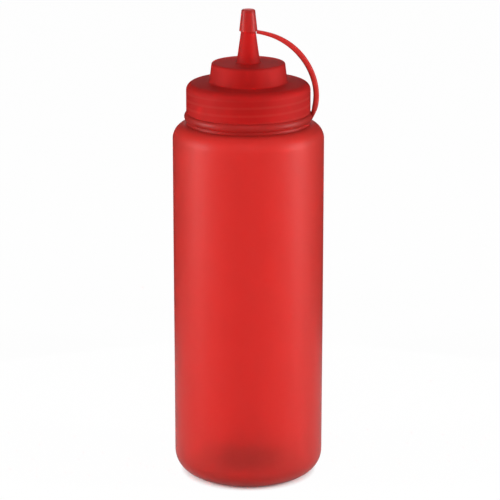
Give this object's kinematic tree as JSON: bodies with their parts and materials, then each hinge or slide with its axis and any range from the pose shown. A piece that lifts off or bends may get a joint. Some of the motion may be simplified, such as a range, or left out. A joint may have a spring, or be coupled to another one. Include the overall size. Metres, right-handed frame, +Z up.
{
  "type": "squeeze bottle",
  "caption": "Empty soft plastic squeeze bottle for sauces: round body, screw cap with a raised drum and conical nozzle, and a tip cap on a strap from a ring round the neck.",
  "frame": {"origin": "on the bottle's axis, in the plane of the flat ring that it stands on", "axes": "+Z up along the bottle's axis, +X towards the side over which the strap arches"},
  "size_m": [0.083, 0.083, 0.2622],
  "materials": {
    "bottle": "frosted translucent red low-density polyethylene, blow-moulded",
    "cap": "satin translucent red polyethylene, injection-moulded",
    "tether": "satin translucent red polyethylene, injection-moulded"
  },
  "bodies": {
    "root": {"bottle": "bottle", "cap": "cap", "tether": "tether"}
  },
  "joints": []
}
